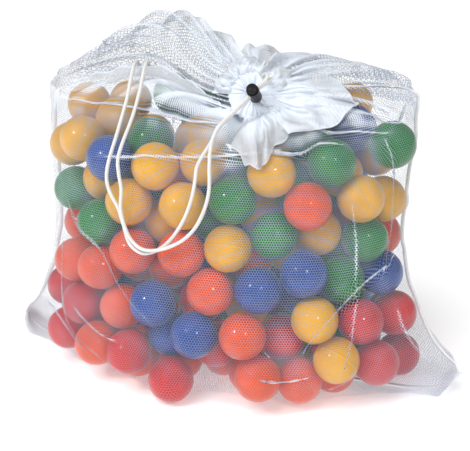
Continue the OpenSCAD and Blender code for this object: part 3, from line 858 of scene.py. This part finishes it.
net_points, net_dense = net_surface()


def crowding(x):
    """How crowded the cloth is at each point: more where it is gathered or double, less where a ball stretches it."""
    wide = 0.5 * np.linalg.norm(np.roll(x, -1, 1) - np.roll(x, 1, 1), axis=-1)
    tall = np.linalg.norm(np.gradient(x, axis=0), axis=-1)
    area = wide * tall / (2 * NET_WIDTH / COLS * NET_HEIGHT / (ROWS - 1))
    for _ in range(4):
        area = 0.5 * area + 0.25 * (np.roll(area, 1, 1) + np.roll(area, -1, 1))
    far = ((x.reshape(-1, 3) - ALL_CENTRES[nearest_balls(x)]) ** 2).sum(-1).min(0)
    air = np.sqrt(far).reshape(x.shape[:2]) - BALL_R
    taut = np.clip(1 - air / TAUT_AIR, 0, 1) * np.clip(2.4 - net_dense, 0, 1)
    loose = np.clip((air - LOOSE_AIR[0]) / (LOOSE_AIR[1] - LOOSE_AIR[0]), 0, 1)
    from_mouth = np.linalg.norm(x - NECK * MM, axis=-1)
    gathers = MOUTH_DENSE * np.exp(-((from_mouth / MOUTH_REACH) ** 2))
    return np.clip(net_dense / np.maximum(area, 0.05), 0.9, 6) * (1 - TAUT_THIN * taut + LOOSE_THICK * loose) + gathers


net_crowd = crowding(net_points)
net_white = net_material("net", slot_color("net"), THIN_NET_PAINTED_SHADE, THREAD_HALF)


def net_panel(name, node, first):
    """One panel of the bag, from side seam to side seam."""
    cols = (first + np.arange(PANEL_COLS + 1)) % COLS
    points = net_points[:, cols]
    across = np.arange(PANEL_COLS + 1) / PANEL_COLS * NET_WIDTH
    uv = grid_uv(across[None, :], np.linspace(0, NET_HEIGHT, ROWS)[:, None], ROWS, PANEL_COLS + 1)
    piece = make_piece(name, points.reshape(-1, 3), [grid_faces(ROWS, PANEL_COLS + 1)], uv,
                       {"crowd": net_crowd[:, cols].reshape(-1)})
    dress(piece, net_white, node)
    return piece


front_net = net_panel("front_net", "front_panel", PANEL_COLS)
back_net = net_panel("back_net", "back_panel", 0)


# ---- seams
def seam_strip(name, node, line, out, half_w, half_t, material):
    """Overlocked edge: a flat bundle of thread with a loop every few millimetres."""
    line, along = even_line(line, 0.9 * MM)
    sides = 12
    a = np.linspace(0, 2 * np.pi, sides, endpoint=False)
    loop = 1 + 0.16 * np.sin(along * math.tau / (2.6 * MM))[:, None]
    tangent = unit(np.gradient(line, axis=0))
    up = np.stack([np.interp(np.linspace(0, 1, len(line)), np.linspace(0, 1, len(out)), out[:, i])
                   for i in range(3)], -1)
    across = unit(np.cross(tangent, up))
    up = np.cross(across, tangent)
    points = line[:, None] + (half_w * loop * np.cos(a))[..., None] * across[:, None]
    points = points + (half_t * loop * np.sin(a))[..., None] * up[:, None]
    points[..., 2] = np.maximum(points[..., 2], 0.3 * MM)
    points = points.reshape(-1, 3)
    uv = grid_uv((np.arange(sides) / sides * 4 * half_w)[None, :], along[:, None], len(line), sides)
    n = len(points)
    j = np.arange(sides)
    caps = np.stack([j[1:-1] * 0, j[2:], j[1:-1]], -1)
    faces = [grid_faces(len(line), sides, True), np.vstack([caps, n - sides + caps[:, ::-1]])]
    piece = make_piece(name, points, faces, uv)
    dress(piece, material, node)
    return piece


seam_thread = woven_material("seam_thread", slot_color("seam_thread"), 1.3 * MM)
net_out = grid_normals(net_points)
SEAM_HALF_W, SEAM_HALF_T = 2.4 * MM, 1.0 * MM
seam_strip("right_seam", "right_side_seam", net_points[1:, 0], net_out[1:, 0], SEAM_HALF_T, SEAM_HALF_W, seam_thread)
seam_strip("left_seam", "left_side_seam", net_points[1:, PANEL_COLS], net_out[1:, PANEL_COLS],
           SEAM_HALF_T, SEAM_HALF_W, seam_thread)
bottom_line = 0.5 * (net_points[0, :PANEL_COLS + 1] + net_points[0, (-np.arange(PANEL_COLS + 1)) % COLS])
seam_strip("bottom_seam_overlock", "bottom_seam", bottom_line + [0, 0, 1.1 * MM],
           np.tile([0, 0, 1.0], (PANEL_COLS + 1, 1)), SEAM_HALF_W, SEAM_HALF_T, seam_thread)

# ---- mouth: casing, ruffle and hem
CASING_OUT = 9.0 * MM
CASING_MIDDLE, CASING_WIDE, CASING_TALL = 17.0, 14.0, 8.0
# How many times longer the hem is than the cord that it is gathered on
GATHERING = 6
TILT_TURN = np.array([[1, 0, 0], [0, math.cos(NECK_TILT), -math.sin(NECK_TILT)],
                      [0, math.sin(NECK_TILT), math.cos(NECK_TILT)]])


def at_neck(points, out):
    """Places on the bag of points given round the middle of the mouth, raised by a distance out of it."""
    return (np.asarray(points) + [0, 0, out]) @ TILT_TURN.T + NECK * MM


def ripples(a, counts):
    """Uneven waves round the mouth, from about -1 to 1; each one swells and fades on its way round."""
    waves = [np.sin(n * a + 2.4 * n + 1.3 * np.sin(3 * a + n)) * (0.65 + 0.35 * np.sin(2 * a + 5 * n)) for n in counts]
    return sum(waves) / math.sqrt(len(counts))


def casing_ring(name, node, start, end):
    """Half of the drawn-up casing: net crowded on the cord into deep, uneven pleats that meet in the middle."""
    count, sides = 240, 28
    a = np.radians(np.linspace(start, end, count))[:, None]
    b = np.linspace(0, math.tau, sides, endpoint=False)[None, :]
    twist = a + 0.10 * np.sin(b + 2 * a) + 0.06 * np.sin(3 * b + 5 * a)
    fold = ripples(twist, (17, 26, 37))
    lumps = ripples(twist, (4, 7, 10))
    ring = (CASING_MIDDLE + CASING_WIDE * (1 + 0.14 * lumps + 0.13 * fold) * np.cos(b)) * MM
    rise = CASING_TALL * (1 + 0.3 * lumps + 0.22 * fold) * np.sin(b) * MM
    points = np.stack([ring * np.cos(a), ring * np.sin(a), rise + 0 * a], -1)
    points = at_neck(points.reshape(-1, 3), CASING_OUT)
    uv = grid_uv(a * NECK_R * MM * GATHERING, b * CASING_WIDE * MM, count, sides)
    n = len(points)
    j = np.arange(sides)
    caps = np.stack([j[1:-1] * 0, j[1:-1], j[2:]], -1)
    piece = make_piece(name, points, [grid_faces(count, sides, True), np.vstack([caps, n - sides + caps])], uv,
                       {"crowd": np.full(n, 3.6)})
    dress(piece, gathered_net, node)


gathered_net = net_material("gathered_net", slot_color("net"), THIN_GATHERS_PAINTED_SHADE, 0.14)
casing_ring("back_casing_gathers", "back_casing", 0.5, 179.5)
casing_ring("front_casing_gathers", "front_casing", 180.5, 359.5)

LIE_CELL = 4 * MM
LIE_CELLS = 96


def lie_of_net():
    """How high the net stands over the plane of the mouth, in square cells round the mouth."""
    local = (net_points.reshape(-1, 3) - NECK * MM) @ TILT_TURN
    cell = np.round(local[:, :2] / LIE_CELL).astype(int) + LIE_CELLS // 2
    inside = ((cell >= 0) & (cell < LIE_CELLS)).all(1)
    field = np.full((LIE_CELLS, LIE_CELLS), -0.2)
    np.maximum.at(field, tuple(cell[inside].T), local[inside, 2])
    for _ in range(3):
        around = [np.roll(field, shift, axis) for shift in (1, -1) for axis in (0, 1)]
        field = np.maximum(field, 0.5 * field + 0.5 * np.mean(around, axis=0))
    return field


def height_at(field, x, y):
    """Height of the net over the plane of the mouth, between the middles of the cells."""
    i = np.clip(x / LIE_CELL + LIE_CELLS // 2, 0, LIE_CELLS - 1.001)
    j = np.clip(y / LIE_CELL + LIE_CELLS // 2, 0, LIE_CELLS - 1.001)
    i0, j0 = np.floor(i).astype(int), np.floor(j).astype(int)
    s, t = i - i0, j - j0
    low = field[i0, j0] * (1 - t) + field[i0, j0 + 1] * t
    high = field[i0 + 1, j0] * (1 - t) + field[i0 + 1, j0 + 1] * t
    return low * (1 - s) + high * s


def ruffle(name, node, hem, thin_to, wave):
    """Frill beyond the casing, lying on the bag: crowded pleats at the cord that open to a few deep waves at the
    hem. hem lists how far the frill reaches from the middle of the mouth, (degrees, millimetres)."""
    count, steps, inner = 460, 60, NECK_R
    corners = np.array(hem, float)
    deg = np.linspace(corners[0, 0], corners[-1, 0], count)[:, None]
    a = np.radians(deg)
    f = np.linspace(0, 1, steps)[None, :]
    line = spline(np.column_stack([corners, 0 * corners[:, 0]]), 16)
    ragged = 1 + 0.05 * ripples(a, (9, 17, 31))
    out = np.interp(deg, line[:, 0], line[:, 1]) * ragged
    reach = inner + (out - inner) * f
    sway = f * (0.07 * ripples(a + 0.2 * f, (8, 13)) + 0.03 * ripples(a, (25,)))
    x, y = reach * np.cos(a + sway) * MM, reach * np.sin(a + sway) * MM
    bent = a + 0.08 * f * np.sin(5 * a) + 0.04 * np.sin(9 * f + 6 * a)
    fine = 2.2 * ripples(bent, (31, 43, 57)) * (1 - 0.6 * f)
    wide = wave * ripples(bent + 0.2 * f, (7, 12, 17)) * f**0.8
    small = 2.0 * ripples(bent + 0.06 * np.sin(7 * f + 3 * a), (23, 34)) * f
    crumple = 1.8 * np.sin(9 * f + 8 * a + 2 * np.sin(11 * a)) * np.sin(np.pi * f)
    puff = 11 * np.sin(np.pi * f) ** 0.8 * (0.8 + 0.4 * ripples(a, (5, 8)))
    lift = np.maximum(2.0, 4 + wide + small + crumple + fine + puff) * MM
    ends = np.clip(np.minimum(deg - corners[0, 0], corners[-1, 0] - deg) / 8, 0.3, 1)
    lain = height_at(field, x, y) + lift * ends
    free = np.clip(1 - f / 0.2, 0, 1)
    height = free * (CASING_OUT + 2 * MM) + (1 - free) * lain
    points = at_neck(np.stack([x, y, height], -1).reshape(-1, 3), 0)
    width = inner * MM * np.radians(corners[-1, 0] - corners[0, 0]) * GATHERING
    uv = grid_uv(np.linspace(0, width, count)[:, None], f * FRILL_LONG, count, steps)
    thin = np.clip((thin_to - deg) / 30, 0.5, 1) * np.clip((f - 0.25) / 0.4, 0, 1)
    crowd = 3.2 - 1.9 * thin + 0.5 * ripples(bent + 0.1 * f, (19, 28)) + 0.7 * (f > 0.975)
    piece = make_piece(name, points, [grid_faces(count, steps)], uv, {"crowd": np.maximum(crowd, 1.1).reshape(-1)})
    double = piece.modifiers.new("two layers", "SOLIDIFY")
    double.thickness = 1.2 * MM
    double.offset = 1
    dress(piece, gathered_net, node)


field = lie_of_net()
FRILL_LONG = 110 * MM
BACK_HEM = [(8, 44), (40, 50), (75, 44), (110, 50), (145, 46), (180, 52)]
FRONT_HEM = [(256, 64), (268, 82), (281, 94), (294, 86), (306, 70), (320, 70), (334, 88), (347, 114), (360, 124),
             (376, 104), (392, 56)]
ruffle("back_frill", "back_ruffle", BACK_HEM, 0, 3.0)
ruffle("front_frill", "front_ruffle", FRONT_HEM, 336, 8.0)


def hem_ridge():
    """Hem of the mouth that lies folded over the left shoulder, standing up as a soft double ridge."""
    count, steps = 260, 33
    u = np.linspace(0, 1, count)[:, None]
    f = np.linspace(0, 1, steps)[None, :]
    h = 20 * MM * np.sin(np.radians(20 + 140 * u)) ** 0.7
    bend = 1 - np.abs(2 * f - 1)
    k = np.clip(11.35 + 1.5 * u - 0.3 * (1 - bend) * np.sign(0.5 - f), 0, 15)
    a = np.radians(210 + 46 * u) + 0 * f
    waves = 1.0 * MM * np.sin(55 * u + 2.2 * np.sin(9 * u)) * bend
    lift = 1.6 * MM + h * bend**0.9 * (1 + 0.10 * np.sin(31 * u + 1.0)) + waves
    base = skin(k, a)
    points = base + lift[..., None] * skin_normal(k, a)
    uv = grid_uv(u * 0.30, f * 0.06, count, steps)
    crowd = np.broadcast_to(1.3 + 1.5 * np.exp(-((bend - 1) / 0.1) ** 2), (count, steps))
    piece = make_piece("hem_over_shoulder", points.reshape(-1, 3), [grid_faces(count, steps)], uv,
                       {"crowd": crowd.reshape(-1)})
    smooth = piece.modifiers.new("smooth", "SUBSURF")
    smooth.levels = smooth.render_levels = 1
    dress(piece, gathered_net, "hem_fold")


hem_ridge()


# ---- carried-over CAD nodes
def repaint(node, material):
    """Gives a CAD part that stays as it is a new material."""
    mesh = frame["nodes"][node].data
    mesh.materials.clear()
    mesh.materials.append(material)
    mesh.polygons.foreach_set("material_index", np.zeros(len(mesh.polygons), np.int32))


LOCK_TINT = (0.006, 0.006, 0.007, 1)
repaint("lock_barrel", plastic_material("lock_black", LOCK_TINT, 0.42, 1600.0))
repaint("lock_plunger", plastic_material("lock_plunger_black", LOCK_TINT, 0.36, 1600.0))
repaint("drawcord_neck_loop", loop_cord_material())


# ---- floor and light
FLOOR_PAINTED_GLOW = 0.36
WORLD_GLOW = 0.27


def add_floor():
    """Pale floor that glows a little by itself: painted light that brightens the bag's shadow on it and lights the bag
    a little from below.
    """
    size, high = 25.0, -0.5 * MM
    points = np.array([[-size, -size, high], [size, -size, high], [size, size, high], [-size, size, high]])
    floor = make_piece("floor", points, [np.array([[0, 1, 2, 3]])], smooth=False)
    m = Shader("floor", Roughness=0.9)
    m.surface.inputs["Emission Color"].default_value = (1, 1, 1, 1)
    # Painted light: the floor's own glow fills in the bag's shadow on it
    m.surface.inputs["Emission Strength"].default_value = FLOOR_PAINTED_GLOW
    m.set(m.surface.inputs["Base Color"], m.blend(m.noise(40.0), (0.94, 0.94, 0.95, 1), (0.97, 0.97, 0.97, 1)))
    floor.data.materials.append(m.material)


def add_light(name, kind, place, target, power):
    light = bpy.data.objects.new(name, bpy.data.lights.new(name, kind))
    light.data.energy = power
    light.location = place
    light.rotation_euler = (target - Vector(place)).to_track_quat("-Z", "Y").to_euler()
    bpy.context.scene.collection.objects.link(light)
    return light


def add_world():
    world = bpy.data.worlds.new("studio")
    bpy.context.scene.world = world
    world.use_nodes = True
    sky = world.node_tree.nodes["Background"]
    sky.inputs["Color"].default_value = (1.0, 1.0, 1.0, 1)
    sky.inputs["Strength"].default_value = WORLD_GLOW


add_floor()
add_world()
# The sun lights the bag but isn't reflected, so each ball shows only the highlights of the two lamps
sun = add_light("sun", "SUN", (-0.35, -0.9, 1.35), Vector(), 2.0)
sun.data.angle = math.radians(34)
sun.visible_glossy = False
add_light("key", "AREA", (-1.1, -1.5, 1.6), VIEW_TARGET, 11).data.size = 0.2
add_light("second", "AREA", (1.0, -1.7, 1.5), VIEW_TARGET, 8).data.size = 0.18
bpy.context.scene.view_settings.view_transform = "Standard"
